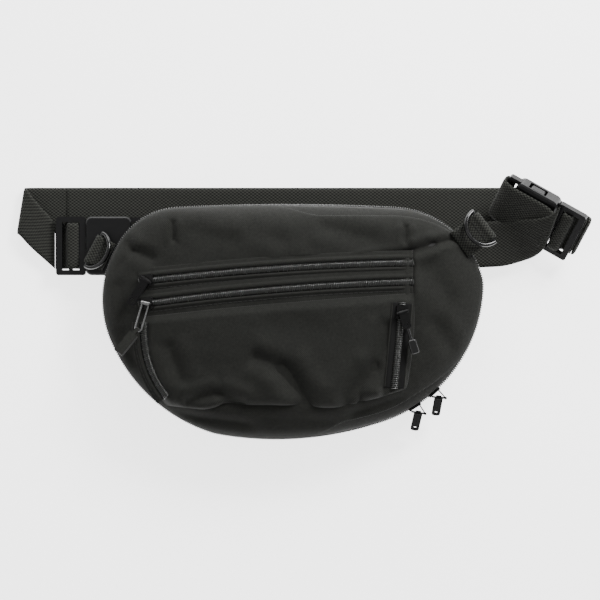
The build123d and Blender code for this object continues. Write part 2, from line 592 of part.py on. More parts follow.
def belt():
    length = BACK_RUN_RIGHT - BACK_RUN_LEFT
    middle = (BACK_RUN_RIGHT + BACK_RUN_LEFT) / 2
    keep("belt_back_run", Pos(middle, BACK_RUN_Y, BACK_RUN_Z) * Box(length, WEBBING_WIDTH, WEBBING))
    upper, lower = BACK_RUN_Y + HALF, BACK_RUN_Y - HALF
    back_left = (BACK_RUN_LEFT - GAP, upper, BACK_RUN_Z), (BACK_RUN_LEFT - GAP, lower, BACK_RUN_Z)
    keep("belt_left_fold", ribbon(pairs(LEFT_TURN, LEFT_LADDER_END) + [back_left], WEBBING))
    keep("left_wing_webbing", LEFT_FRAME * shell_loop(20.0, -5.6))
    behind = -BUCKLE_THICK / 2 - WEBBING / 2 - 2.5
    under = -(2.5 + WEBBING / 2 + 0.2)
    right = BACK_RUN_RIGHT + 3 * GAP
    keep("belt_right_fold", ribbon([
        local_pair(RIGHT_FRAME, -LADDER_LENGTH - 2.0, under),
        local_pair(RIGHT_FRAME, -LADDER_LENGTH - 3.4, (under + behind) / 2),
        local_pair(RIGHT_FRAME, -LADDER_LENGTH + 1.0, behind),
        local_pair(RIGHT_FRAME, 0.0, behind),
        local_pair(RIGHT_FRAME, 24.0, behind),
        *pairs([RIGHT_TURN], RIGHT_END),
        ((right, upper, BACK_RUN_Z), (right, lower, BACK_RUN_Z)),
    ], WEBBING))
    front = BUCKLE_THICK / 2 + WEBBING / 2 + 0.8
    keep("right_wing_webbing", ribbon([
        *pairs(WING_CURL, RIGHT_END),
        local_pair(RIGHT_FRAME, -0.5, front + 2.8),
        local_pair(RIGHT_FRAME, 6.0, front + 0.8),
        local_pair(RIGHT_FRAME, 14.0, front),
        local_pair(RIGHT_FRAME, HOUSING_LENGTH, front),
        local_pair(RIGHT_FRAME, BUCKLE_END + 0.8, 4.4),
        local_pair(RIGHT_FRAME, BUCKLE_END + 2.6, 0.0),
        local_pair(RIGHT_FRAME, BUCKLE_END + 0.6, -4.2),
        local_pair(RIGHT_FRAME, HOUSING_LENGTH + 2.4, -4.0),
    ], WEBBING))


# ---- assembly ----
LEFT_TAB_ABOVE_SHELL = 5.1
LEFT_TAB_Z = LEFT_BUCKLE.Z + BUCKLE_THICK / 2 + LEFT_TAB_ABOVE_SHELL
LEFT_TAB = ring_frame(Vector(LEFT_END - 10.0, BACK_RUN_Y - 33.4, LEFT_TAB_Z), 152.0, -14.0)
RIGHT_TAB = ring_frame(Vector(RIGHT_END + 0.8, BACK_RUN_Y - 14.9, RIM_Z + 14.0), 37.0, 4.0)
ZIPS = {}
PULLS = {}


def pocket_zips():
    for name, points, lift, slider, toward, length in (
            ("zip_a", ZIP_A, PANEL_LIFT, SLIDER_A, PULL_A, 24.0),
            ("zip_b", ZIP_B, PANEL_LIFT, SLIDER_B, PULL_B, None),
            ("zip_c", ZIP_C, POCKET_LIFT, None, None, None),
            ("zip_d", ZIP_D, POCKET_LIFT, SLIDER_D, PULL_D, PULL_D_LENGTH)):
        line, plane, frame = crown_zip(name, points, lift, slider, toward)
        ZIPS[name] = (line, plane)
        if frame is None:
            continue
        PULLS[name] = frame
        if length is None:
            keep("zip_b_loop", frame.location * wire_loop_pull(PULL_B_LOOP))
        else:
            keep(f"{name}_pull", frame.location * plate_pull(length))
    keep("zip_d_grip", PULLS["zip_d"].location * moulded_grip())
    PULLS["zip_b_tab"] = loop_tab_frame()
    keep("zip_b_tab", PULLS["zip_b_tab"].location * loop_tab())


def moulded_grip():
    """Plastic grip moulded onto the end of zip D's metal pull."""
    neck = Pos(PULL_D_LENGTH + 5.0, 0, 0) * Rot(0, 90, 0) * Cylinder(1.3, 10.0)
    end = Pos(PULL_D_LENGTH + 15.0, 0, 0) * Box(12.0, 7.0, 4.0)
    return neck + fillet(end.edges(), 1.6)


def loop_tab_frame():
    """Where the cloth tab hangs on the wire loop: on the bow, square to the wire."""
    loop = PULLS["zip_b"]
    toward = Vector(TAB_B[0], TAB_B[1], 0)
    along = (toward - loop.z_dir * toward.dot(loop.z_dir)).normalized()
    bow = loop.origin + loop.x_dir * loop_run(PULL_B_LOOP)
    pivot = bow + along * (PULL_WIDTH - LOOP_WIRE) / 2
    return Plane(origin=pivot, x_dir=along, z_dir=loop.z_dir)


def loop_tab():
    """Cloth tab folded round the wire loop and sewn to itself."""
    fold = strip([(3.4, 1.75), (-1.5, 1.75), (-2.3, 0.0), (-1.5, -1.75), (3.4, -1.75)], 3.0, TAPE)
    return fold + Pos(13.4, 0, 0) * Box(20.0, 8.0, 3.5 + TAPE)


def build():
    back()
    rear_half()
    front_half()
    pocket()
    pocket_zips()
    PULLS["main_zip_lower"] = main_slider("main_zip_lower", SLIDER_E_ANGLE, -9.0, 24.0)
    PULLS["main_zip_upper"] = main_slider("main_zip_upper", SLIDER_F_ANGLE, -6.0, 24.0)
    buckles()
    belt()
    keep("left_ring_tab", ring_tab(LEFT_TAB, 14.0, 0.0))
    keep("left_d_ring", LEFT_TAB.location * d_ring(RING_TILT))
    keep("right_ring_tab", ring_tab(RIGHT_TAB, 25.0, 1.0))
    keep("right_d_ring", RIGHT_TAB.location * d_ring(RING_TILT))


build()
os.makedirs("parts", exist_ok=True)
for node, shape in PARTS.items():
    export_step(shape, f"parts/{node}.step")
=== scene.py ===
import math

import bmesh
import bpy
import numpy as np
from mathutils import Matrix, Vector, geometry, noise


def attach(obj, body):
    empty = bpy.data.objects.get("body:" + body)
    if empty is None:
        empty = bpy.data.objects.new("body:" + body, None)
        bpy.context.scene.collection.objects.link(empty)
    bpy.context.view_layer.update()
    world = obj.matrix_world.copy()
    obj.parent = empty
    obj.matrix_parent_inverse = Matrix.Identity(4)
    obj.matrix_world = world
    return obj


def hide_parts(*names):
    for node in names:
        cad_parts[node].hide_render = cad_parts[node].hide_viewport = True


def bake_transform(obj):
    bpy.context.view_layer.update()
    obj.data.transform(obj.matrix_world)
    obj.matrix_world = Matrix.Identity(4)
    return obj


# Waist pack, lying on its back with its front face up. Metres; X along the belt, Y to the belt's edge, Z up.
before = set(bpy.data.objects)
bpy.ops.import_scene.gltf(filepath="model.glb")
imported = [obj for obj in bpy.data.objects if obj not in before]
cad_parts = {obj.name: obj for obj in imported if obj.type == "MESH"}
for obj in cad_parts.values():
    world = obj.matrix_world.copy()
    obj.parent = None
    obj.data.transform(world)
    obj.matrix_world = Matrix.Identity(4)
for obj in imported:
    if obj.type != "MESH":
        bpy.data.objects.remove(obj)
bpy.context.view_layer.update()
MM = 0.001

FRONT = "front_shell"
REAR = "rear_shell"
LEFT_PLUG = "left_buckle_plug"
RIGHT_PLUG = "right_buckle_plug"

# ---- sizes, in millimetres ----
TURN = 480                         # points in a ring round the pack
CENTRE = np.array((-4.0, -10.0))   # the middle that the rings run round
RIM_Z = 30.0                       # the main zip's height
RIM_LIFT = 1.6                     # the front cloth starts this far above it
RIM_RADIUS = 125.0                 # the rim's mean radius
CROWN_TOP = 60.0                   # top of the front
CROWN_RADIUS = 710.0
CROWN_X, CROWN_Y = -6.0, -12.0
EDGE_ROUND = 27.0                  # how far in from the rim the front is rounded off
EDGE_SHAPE = 2.1                   # 2 is a plain quarter circle, more is squarer
BAND = 10.5                        # main zip's tape where it shows, coil to seam
TUCK = 1.6                         # and where the cloth bulges over it
TAPE_SHOWS = ((-84.0, -62.0, -34.0, -8.0), (22.0, 48.0, 74.0, 104.0))   # degrees: in over two, out over two
COIL_W, COIL_H = 5.2, 1.9
COIL_PITCH, MAIN_PITCH = 1.45, 1.5
WEB_W, WEB_T = 38.1, 1.8
POCKET_RISE = 4.6
POCKET_WIDTH, POCKET_DROP = 220.0, 80.0
TRAY_FLOOR = 7.2

# Three points on each pocket zip's line, and the pocket's seams and folds.
ZIP_A = [(-131.0, 20.6), (-18.0, 31.0), (92.0, 35.8)]
ZIP_B = [(-131.0, 1.8), (-18.0, 14.2), (92.0, 20.2)]
ZIP_C = [(-127.0, -13.0), (-123.0, -46.0), (-108.5, -73.0)]
ZIP_D = [(83.0, 3.0), (80.0, -30.0), (76.5, -66.0)]
POCKET_TOP = [(-128.5, -8.6), (-18.0, 2.6), (93.0, 11.0)]
POCKET_BOTTOM = [(-109.0, -80.0), (-78.0, -82.5), (-60.0, -77.5), (-38.0, -79.0), (0.0, -79.5), (24.0, -81.5),
                 (50.0, -77.0), (86.0, -66.5)]
POCKET_LEFT = [(-128.5, -8.6), (-126.5, -45.0), (-109.0, -80.0)]
POCKET_RIGHT = [(93.0, 11.0), (91.5, -30.0), (86.0, -66.5)]

# Creases pressed into the cloth: start, end, depth, half width.
FRONT_CREASES = [
    ((-104.0, 70.0), (-103.5, 53.0), 3.0, 2.4),
    ((86.5, 66.0), (86.0, 51.0), 3.0, 2.4),
    ((46.0, 38.5), (88.0, 44.5), 2.6, 2.6),
    ((86.0, 44.0), (110.0, 51.0), 4.0, 3.4),
    ((107.0, 50.5), (130.0, 56.5), 3.2, 2.8),
    ((-147.0, 62.0), (-136.0, 44.0), 2.6, 4.0),
    ((-137.0, 46.0), (-118.0, 38.0), 2.6, 4.5),
    ((-90.0, 62.0), (-50.0, 54.0), 1.2, 8.0),
    ((-44.0, 66.0), (-10.0, 52.0), 1.2, 7.0),
    ((15.0, 66.0), (62.0, 55.0), 1.6, 6.0),
    ((104.0, 36.0), (122.0, 4.0), 1.8, 8.0),
    ((110.0, -10.0), (124.0, -36.0), 1.6, 6.0),
    ((-148.0, 20.0), (-138.0, -8.0), 1.8, 6.0),
    ((-146.0, -18.0), (-134.0, -48.0), 2.2, 6.0),
    ((91.5, 44.0), (91.0, 8.0), 3.0, 1.8),
    ((-100.0, -88.0), (-40.0, -96.0), 2.4, 4.0),
    ((-30.0, -92.0), (30.0, -93.0), 1.8, 5.0),
    ((40.0, -88.0), (84.0, -74.0), 2.4, 4.0),
]
POCKET_CREASES = [
    ((-40.0, -40.0), (-14.0, -49.0), 3.4, 6.0),
    ((-16.0, -48.0), (8.0, -80.0), 6.0, 7.5),
    ((34.0, -78.0), (62.0, -48.0), 5.0, 7.0),
    ((60.0, -50.0), (71.0, -12.0), 3.2, 6.0),
    ((-94.0, -78.0), (-66.0, -70.0), 4.2, 4.5),
    ((-66.0, -70.0), (-44.0, -79.0), 3.2, 4.5),
    ((47.0, -74.0), (60.0, -81.0), 3.4, 5.0),
    ((-108.0, -30.0), (-96.0, -62.0), 2.4, 6.0),
    ((-30.0, -12.0), (34.0, -22.0), 1.2, 12.0),
]


# ---- small helpers ----
def quad(points, t):
    """Point at t, 0 to 1, on the smooth line through three points."""
    p0, p1, p2 = (np.array(p, float) for p in points)
    return (2 * (t - 0.5) * (t - 1)) * p0 + (-4 * t * (t - 1)) * p1 + (2 * t * (t - 0.5)) * p2


def spline(points, t):
    """Point at t, 0 to 1, on a smooth line through any number of points."""
    points = [np.array(p, float) for p in points]
    last = len(points) - 1
    i = min(int(t * last), last - 1)
    f = t * last - i
    a, b = points[max(i - 1, 0)], points[i]
    c, d = points[i + 1], points[min(i + 2, last)]
    square, cube = 2 * a - 5 * b + 4 * c - d, 3 * b - a - 3 * c + d
    return 0.5 * (2 * b + (c - a) * f + square * f * f + cube * f ** 3)


def smooth(x, low, high):
    """0 below low, 1 above high, eased between."""
    t = min(max((x - low) / (high - low), 0.0), 1.0)
    return t * t * (3 - 2 * t)


def lumps(x, y, size, seed=0.0):
    """Smooth noise, -1 to 1, with lumps of about the given size in mm."""
    return noise.noise(Vector((x / size + seed, y / size - seed, seed * 1.7)))


def mesh_piece(name, verts, faces, material, uvs=None):
    """A mesh from points in mm; uvs, also in mm, are one per point."""
    mesh = bpy.data.meshes.new(name)
    mesh.from_pydata([tuple(c * MM for c in v) for v in verts], [], faces)
    if uvs is not None:
        layer = mesh.uv_layers.new(name="cloth")
        for loop in mesh.loops:
            layer.data[loop.index].uv = (uvs[loop.vertex_index][0] * MM, uvs[loop.vertex_index][1] * MM)
    mesh.polygons.foreach_set("use_smooth", [True] * len(mesh.polygons))
    mesh.materials.append(material)
    mesh.update()
    piece = bpy.data.objects.new(name, mesh)
    bpy.context.scene.collection.objects.link(piece)
    return piece


def sheet_piece(name, rows, material, uvs=None, wrap=False, thick=0.0):
    """A skin over rows of points; wrap joins each row's end to its start."""
    count = len(rows[0])
    verts = [p for row in rows for p in row]
    flat = [u for row in uvs for u in row] if uvs is not None else None
    faces = []
    for i in range(len(rows) - 1):
        for j in range(count if wrap else count - 1):
            k = (j + 1) % count
            faces.append((i * count + j, i * count + k, (i + 1) * count + k, (i + 1) * count + j))
    piece = mesh_piece(name, verts, faces, material, flat)
    if thick:
        solid = piece.modifiers.new("thickness", "SOLIDIFY")
        solid.thickness = thick * MM
        solid.offset = -1
    return piece


def tube(name, points, radius, material, sides=8, closed=False):
    """A round tube through points in mm."""
    points = [Vector(p) for p in points]
    count = len(points)
    verts, faces = [], []
    side = Vector((0, 0, 1))
    for i, p in enumerate(points):
        ahead = points[(i + 1) % count] if closed or i < count - 1 else p
        back = points[i - 1] if closed or i else p
        along = (ahead - back).normalized()
        across = along.cross(side)
        if across.length < 0.05:
            across = along.cross(Vector((0, 1, 0)))
        across.normalize()
        up = across.cross(along)
        for k in range(sides):
            a = 2 * math.pi * k / sides
            verts.append(p + (across * math.cos(a) + up * math.sin(a)) * radius)
    for i in range(count if closed else count - 1):
        for k in range(sides):
            n, m = (i + 1) % count, (k + 1) % sides
            faces.append((i * sides + k, i * sides + m, n * sides + m, n * sides + k))
    if not closed:
        faces.append(tuple(reversed(range(sides))))
        faces.append(tuple(range((count - 1) * sides, count * sides)))
    return mesh_piece(name, verts, faces, material)


def beads(name, spots, material, sides=5):
    """Many short round-ended bars: each spot is (start, end, radius) in mm."""
    verts, faces = [], []
    for start, end, radius in spots:
        start, end = Vector(start), Vector(end)
        along = (end - start).normalized()
        across = along.orthogonal().normalized()
        up = along.cross(across)
        first = len(verts)
        rings = [(start - along * radius * 0.8, 0.35), (start, 1.0), (end, 1.0),
                 (end + along * radius * 0.8, 0.35)]
        for centre, share in rings:
            for k in range(sides):
                a = 2 * math.pi * k / sides
                verts.append(centre + (across * math.cos(a) + up * math.sin(a)) * radius * share)
        for i in range(len(rings) - 1):
            for k in range(sides):
                n = (k + 1) % sides
                faces.append((first + i * sides + k, first + i * sides + n,
                              first + (i + 1) * sides + n, first + (i + 1) * sides + k))
        faces.append(tuple(first + k for k in reversed(range(sides))))
        faces.append(tuple(first + (len(rings) - 1) * sides + k for k in range(sides)))
    return mesh_piece(name, verts, faces, material)


def stitches(name, line, material, length=2.6, gap=1.5, radius=0.28, lift=0.15):
    """A row of stitches along a line of (point, normal) pairs."""
    spots = []
    want, on = 0.0, True
    start = None
    for (a, n), (b, _) in zip(line, line[1:]):
        a, b, n = Vector(a), Vector(b), Vector(n)
        span = (b - a).length
        if span == 0:
            continue
        place = 0.0
        while place < span:
            left = (length if on else gap) - want
            step = min(left, span - place)
            if on and start is None:
                start = a.lerp(b, place / span) + n * lift
            place += step
            want += step
            if want >= (length if on else gap) - 1e-9:
                if on:
                    spots.append((start, a.lerp(b, place / span) + n * lift, radius))
                    start = None
                on, want = not on, 0.0
    return beads(name, spots, material)


def outline_of(node):
    """The outer outline of a node seen from above, in mm."""
    points = [(v.co.x / MM, v.co.y / MM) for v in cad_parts[node].data.vertices]
    return [np.array(points[i]) for i in geometry.convex_hull_2d([Vector(p) for p in points])]


def reach_of(outline, centre):
    """Distance from the centre to an outline, as a smooth table over the whole turn."""
    table = np.zeros(TURN)
    for i in range(TURN):
        a = 2 * math.pi * i / TURN
        ray = np.array((math.cos(a), math.sin(a)))
        for p, q in zip(outline, outline[1:] + outline[:1]):
            edge = q - p
            cross = ray[0] * edge[1] - ray[1] * edge[0]
            if abs(cross) < 1e-9:
                continue
            rel = p - centre
            along = (rel[0] * edge[1] - rel[1] * edge[0]) / cross
            share = (rel[0] * ray[1] - rel[1] * ray[0]) / cross
            if along > 0 and -1e-6 <= share <= 1 + 1e-6:
                table[i] = max(table[i], along)
    for _ in range(4):
        table = (np.roll(table, 1) + 2 * table + np.roll(table, -1)) / 4
    return table


RIM = reach_of(outline_of("main_zip_front_coil"), CENTRE)
BASE = reach_of(outline_of("back_panel_cloth"), CENTRE)


def reach(table, angle):
    """An outline's distance from the centre at any angle."""
    place = (angle / (2 * math.pi)) % 1 * TURN
    i = int(place) % TURN
    f = place - int(place)
    return table[i] * (1 - f) + table[(i + 1) % TURN] * f


def band_at(angle):
    """How much of the main zip's tape shows inside the rim, by the angle round the pack."""
    turn = math.degrees(angle)
    turn = (turn + 180.0) % 360.0 - 180.0
    shown = max(smooth(turn, a, b) * (1 - smooth(turn, c, d)) for a, b, c, d in TAPE_SHOWS)
    return TUCK + (BAND - TUCK) * shown


def crease(x, y, folds):
    """How far the folds press the cloth down at a point; each throws up a low ridge beside it."""
    down = 0.0
    for (x0, y0), (x1, y1), depth, half in folds:
        dx, dy = x1 - x0, y1 - y0
        span = dx * dx + dy * dy
        t = min(max(((x - x0) * dx + (y - y0) * dy) / span, -0.15), 1.15)
        away = math.hypot(x - x0 - t * dx, y - y0 - t * dy)
        ends = smooth(t, -0.15, 0.12) * (1 - smooth(t, 0.88, 1.15))
        ridge = 0.35 * math.exp(-((away - 2.2 * half) / half) ** 2)
        down += depth * ends * (math.exp(-(away / half) ** 2) - ridge)
    return down


def crown_z(x, y):
    """Height of the large ball that the front's top lies on."""
    dx, dy = x - CROWN_X, y - CROWN_Y
    return CROWN_TOP - CROWN_RADIUS + math.sqrt(CROWN_RADIUS ** 2 - dx * dx - dy * dy)


def front_z(x, y, folds=True):
    """Height of the front cloth at a point."""
    dx, dy = x - CENTRE[0], y - CENTRE[1]
    edge = reach(RIM, math.atan2(dy, dx)) - math.hypot(dx, dy)
    u = min(max(edge / EDGE_ROUND, 0.0), 1.0)
    rounding = (1 - (1 - u) ** EDGE_SHAPE) ** (1 / EDGE_SHAPE)
    z = RIM_Z + RIM_LIFT + (crown_z(x, y) - RIM_Z - RIM_LIFT) * rounding
    if folds:
        calm = smooth(edge, 6.0, 26.0)
        z += calm * (2.2 * lumps(x, y, 46.0, 3.1) + 1.0 * lumps(x, y, 17.0, 8.2)) * away_from_zips(x, y)
        z -= crease(x, y, FRONT_CREASES) * smooth(edge, 1.0, 10.0)
    return z


def away_from_zips(x, y):
    """0 on the zips' own ground, 1 well away from it."""
    start, end = ZIP_B[0][0], ZIP_B[-1][0]
    t = min(max((x - start) / (end - start), 0.0), 1.0)
    low, high = quad(ZIP_B, t)[1] - 10, quad(ZIP_A, t)[1] + 9
    if start - 3 < x < end + 3 and y < high:
        return 0.15 + 0.85 * smooth(y, high - 2, high + 14) if y > low else 0.3
    return 1.0


def front_normal(x, y):
    """Which way the front cloth faces at a point."""
    e = 0.6
    slope_x = front_z(x - e, y) - front_z(x + e, y)
    slope_y = front_z(x, y - e) - front_z(x, y + e)
    return Vector((slope_x, slope_y, 2 * e)).normalized()


# ---- materials ----
def node_material(name):
    material = bpy.data.materials.new(name)
    material.use_nodes = True
    tree = material.node_tree
    return material, tree, tree.nodes["Principled BSDF"]


def add(tree, kind, **values):
    node = tree.nodes.new(kind)
    for key, value in values.items():
        if key in node.inputs:
            node.inputs[key].default_value = value
        else:
            setattr(node, key, value)
    return node


def link(tree, a, b):
    tree.links.new(a, b)


def math_node(tree, operation, a, b=None):
    node = add(tree, "ShaderNodeMath", operation=operation)
    for socket, value in zip(node.inputs, (a, b)):
        if value is None:
            continue
        if isinstance(value, (int, float)):
            socket.default_value = value
        else:
            link(tree, value, socket)
    return node.outputs[0]


def weave_height(tree, pitch_u, pitch_v):
    """Over-and-under threads from the piece's own cloth coordinates, 0 to 1, and the coordinates node."""
    coords = add(tree, "ShaderNodeTexCoord")
    split = add(tree, "ShaderNodeSeparateXYZ")
    link(tree, coords.outputs["UV"], split.inputs[0])
    u = math_node(tree, "MULTIPLY", split.outputs[0], 2 * math.pi / (pitch_u * MM))
    v = math_node(tree, "MULTIPLY", split.outputs[1], 2 * math.pi / (pitch_v * MM))
    both = math_node(tree, "MULTIPLY", math_node(tree, "SINE", u), math_node(tree, "SINE", v))
    return math_node(tree, "ADD", math_node(tree, "MULTIPLY", both, 0.5), 0.5), coords


def cloth(name, dark, light, pitch_u, pitch_v, bump, rough=0.9, wear=0.2, grain=0.45):
    """Woven cloth: threads with painted highlights on their crowns and painted shade in the hollows between
    them, uneven dye, fine fuzz and rubbed patches.
    """
    material, tree, shader = node_material(name)
    height, coords = weave_height(tree, pitch_u, pitch_v)
    fuzz = add(tree, "ShaderNodeTexNoise", Scale=900.0, Detail=3.0, Roughness=0.6)
    patch = add(tree, "ShaderNodeTexNoise", Scale=420.0, Detail=5.0, Roughness=0.75)
    link(tree, coords.outputs["Object"], fuzz.inputs["Vector"])
    link(tree, coords.outputs["Object"], patch.inputs["Vector"])
    # The ramp below paints the thread crowns light, as painted highlight, and the hollows between them dark,
    # as painted shade; the fuzz and the rubbed patches are the cloth's own uneven tone.
    threads = math_node(tree, "ADD", math_node(tree, "MULTIPLY", height, 1 - grain),
                        math_node(tree, "MULTIPLY", fuzz.outputs["Fac"], grain))
    worn = math_node(tree, "ADD", math_node(tree, "MULTIPLY", threads, 1 - wear),
                     math_node(tree, "MULTIPLY", patch.outputs["Fac"], wear))
    ramp = add(tree, "ShaderNodeValToRGB")
    ramp.color_ramp.elements[0].position = 0.25
    ramp.color_ramp.elements[0].color = (*dark, 1)
    ramp.color_ramp.elements[1].position = 0.75
    ramp.color_ramp.elements[1].color = (*light, 1)
    link(tree, worn, ramp.inputs[0])
    link(tree, ramp.outputs[0], shader.inputs["Base Color"])
    relief = math_node(tree, "ADD", math_node(tree, "MULTIPLY", height, 0.7),
                       math_node(tree, "MULTIPLY", fuzz.outputs["Fac"], 0.5))
    bumps = add(tree, "ShaderNodeBump", Strength=bump, Distance=0.35 * MM)
    link(tree, relief, bumps.inputs["Height"])
    link(tree, bumps.outputs[0], shader.inputs["Normal"])
    shader.inputs["Roughness"].default_value = rough
    shader.inputs["Sheen Weight"].default_value = 0.05
    shader.inputs["Sheen Roughness"].default_value = 0.45
    shader.inputs["Specular IOR Level"].default_value = 0.22
    return material


def moulded(name, colour, rough, grain=0.06, metallic=0.0, coat=0.0, specular=0.5):
    """Moulded plastic or lacquered metal: slight colour drift, fine texture, scuffed roughness."""
    material, tree, shader = node_material(name)
    coords = add(tree, "ShaderNodeTexCoord")
    fine = add(tree, "ShaderNodeTexNoise", Scale=320.0, Detail=4.0, Roughness=0.6)
    broad = add(tree, "ShaderNodeTexNoise", Scale=60.0, Detail=3.0, Roughness=0.5)
    for texture in (fine, broad):
        link(tree, coords.outputs["Object"], texture.inputs["Vector"])
    ramp = add(tree, "ShaderNodeValToRGB")
    ramp.color_ramp.elements[0].color = (*[c * 0.8 for c in colour], 1)
    ramp.color_ramp.elements[1].color = (*[c * 1.3 for c in colour], 1)
    link(tree, broad.outputs["Fac"], ramp.inputs[0])
    link(tree, ramp.outputs[0], shader.inputs["Base Color"])
    spread = math_node(tree, "MULTIPLY", fine.outputs["Fac"], 0.22)
    link(tree, math_node(tree, "ADD", spread, rough - 0.11), shader.inputs["Roughness"])
    bumps = add(tree, "ShaderNodeBump", Strength=grain, Distance=0.1 * MM)
    link(tree, fine.outputs["Fac"], bumps.inputs["Height"])
    link(tree, bumps.outputs[0], shader.inputs["Normal"])
    shader.inputs["Metallic"].default_value = metallic
    shader.inputs["Specular IOR Level"].default_value = specular
    shader.inputs["Coat Weight"].default_value = coat
    return material


# In each woven material the first colour is the thread hollows with painted shade, the second the thread
# crowns with painted highlight.
CLOTH = cloth("pack cloth", (0.0010, 0.0012, 0.0009), (0.0185, 0.0190, 0.0162), 1.5, 1.5, 0.9, wear=0.4)
WEBBING = cloth("webbing", (0.0006, 0.0008, 0.0006), (0.0330, 0.0340, 0.0290), 3.4, 2.6, 1.0,
                wear=0.22, grain=0.25)
TAPE = cloth("zip tape", (0.0012, 0.0012, 0.0012), (0.0060, 0.0062, 0.0060), 0.8, 0.8, 0.4)
LINING = cloth("lining cloth", (0.006, 0.006, 0.006), (0.016, 0.016, 0.0155), 0.6, 0.6, 0.25, rough=0.6)
MESH_BACK = cloth("back mesh", (0.002, 0.002, 0.002), (0.022, 0.023, 0.021), 3.2, 3.2, 1.0, wear=0.1)
THREAD = cloth("thread", (0.008, 0.008, 0.008), (0.030, 0.031, 0.029), 0.4, 0.4, 0.3)
COIL = moulded("zip coil", (0.024, 0.025, 0.023), 0.26, coat=0.55)
LACQUER = moulded("black lacquer", (0.0020, 0.0020, 0.0020), 0.30, coat=0.05, specular=0.18)
ACETAL = moulded("buckle plastic", (0.0022, 0.0022, 0.0024), 0.34, grain=0.15, coat=0.03, specular=0.28)
WIRE = moulded("bright wire", (0.14, 0.14, 0.14), 0.24, metallic=0.9, specular=0.5)
MATT = moulded("matt black", (0.0016, 0.0016, 0.0016), 0.62, specular=0.06)
GLOSS = moulded("glossy plastic", (0.0022, 0.0022, 0.0022), 0.18, coat=0.2, specular=0.35)


def finish_piece(piece, body, slot, *nodes):
    """Ties a piece to its body and hides the nodes it stands for; slot is not used."""
    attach(piece, body)
    if nodes:
        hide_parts(*nodes)
    return piece


# ---- pack body ----
def ring_points(inset, height, count=TURN, table=RIM):
    """Points round the pack at an inset from an outline; height is a number or a function of x, y."""
    out = []
    for i in range(count):
        a = 2 * math.pi * i / count
        r = reach(table, a) - (inset(a) if callable(inset) else inset)
        x, y = CENTRE[0] + r * math.cos(a), CENTRE[1] + r * math.sin(a)
        out.append((x, y, height(x, y) if callable(height) else height))
    return out


def unrolled(rows):
    """Cloth coordinates for rings of points, measured along the cloth from the middle outwards."""
    count = len(rows[0])
    uvs = [[None] * count for _ in rows]
    for j in range(count):
        a = 2 * math.pi * j / count
        run = 0.0
        for i in range(len(rows)):
            if i:
                run += math.dist(rows[i][j], rows[i - 1][j])
            else:
                run = math.hypot(rows[0][j][0] - CENTRE[0], rows[0][j][1] - CENTRE[1])
            uvs[i][j] = (math.cos(a) * run, math.sin(a) * run)
    return uvs


def flat_uvs(rows):
    """Cloth coordinates seen straight from above."""
    return [[(p[0], p[1]) for p in row] for row in rows]


def dome_rows(start, drop=0.0, folds=True):
    """Rings from the middle of the front out to an inset from the rim, given by the angle."""
    rows = []
    steps = 74
    for i in range(steps + 1):
        share = 0.012 + (1 - 0.012) * i / steps
        row = []
        for j in range(TURN):
            a = 2 * math.pi * j / TURN
            r = (reach(RIM, a) - start(a)) * share
            x, y = CENTRE[0] + r * math.cos(a), CENTRE[1] + r * math.sin(a)
            row.append((x, y, front_z(x, y, folds) - drop))
        rows.append(row)
    return rows


def front_cloth():
    """The domed front and the lining under it."""
    rows = dome_rows(band_at)
    rows.append([(x, y, z - 1.4) for x, y, z in rows[-1]])
    piece = sheet_piece("front_cloth", rows, CLOTH, unrolled(rows), wrap=True, thick=1.2)
    finish_piece(piece, FRONT, "pack_cloth", "front_panel", "front_gusset")
    inner = dome_rows(lambda a: 5.0, drop=4.2, folds=False)
    lining = sheet_piece("front_lining", inner, LINING, unrolled(inner), wrap=True, thick=0.6)
    finish_piece(lining, FRONT, "lining_cloth", "pocket_lining")


def front_band():
    """The main zip's tape on the front half, with the piped seam beside it."""
    rows = [ring_points(lambda a, k=share: 0.6 + (band_at(a) + 1.4) * k,
                        lambda x, y, k=share: front_z(x, y, False) - 1.3 - 0.5 * math.sin(math.pi * k))
            for share in np.linspace(0, 1, 9)]
    piece = sheet_piece("main_zip_front_band", rows, CLOTH, unrolled(rows), wrap=True, thick=0.8)
    finish_piece(piece, FRONT, "zip_tape", "main_zip_front_tape")
    seam = [(x, y, z - 0.2) for x, y, z in ring_points(band_at, front_z)]
    piping = tube("main_zip_seam", seam, 0.7, CLOTH, 8, closed=True)
    finish_piece(piping, FRONT, "pack_cloth")
    row = [(p, front_normal(p[0], p[1])) for p in ring_points(lambda a: band_at(a) + 2.6, front_z)]
    sewn = stitches("main_zip_stitching", row + row[:1], THREAD)
    finish_piece(sewn, FRONT, "pack_cloth")


